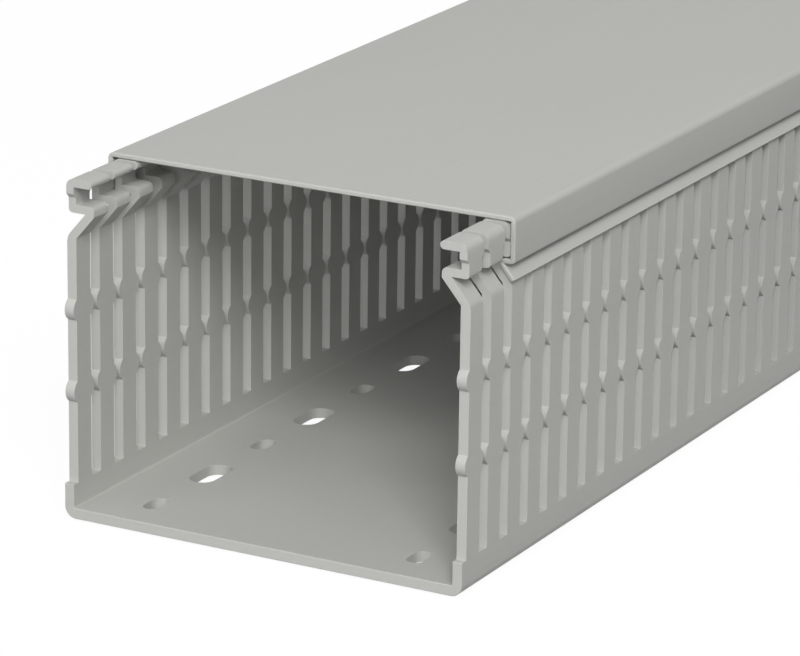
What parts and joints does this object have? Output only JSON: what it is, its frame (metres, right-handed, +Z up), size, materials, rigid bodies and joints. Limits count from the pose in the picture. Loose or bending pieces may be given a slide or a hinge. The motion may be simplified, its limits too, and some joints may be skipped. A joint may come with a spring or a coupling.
{
  "type": "slotted wire duct",
  "caption": "Slotted plastic wiring duct with open finger walls, a perforated floor and a slide-on cover shown partly slid back.",
  "frame": {"origin": "middle of the duct's underside, halfway along the duct and halfway between its walls", "axes": "+X along the duct, from the end where the cover is slid back to the other end; +Y across, from wall to wall; +Z up, from the floor to the cover"},
  "size_m": [1.0212, 0.1076, 0.084],
  "materials": {
    "duct_plastic": "fine matte extruded rigid PVC, stone grey",
    "cover_plastic": "fine matte extruded rigid PVC, stone grey"
  },
  "bodies": {
    "duct": {"duct_body": "duct_plastic"},
    "cover": {"cover": "cover_plastic"}
  },
  "joints": [
    {"name": "cover_slide", "type": "slide", "parent": "duct", "child": "cover", "axis": [1, 0, 0], "range_m": [-0.0212, 0.9788]}
  ]
}
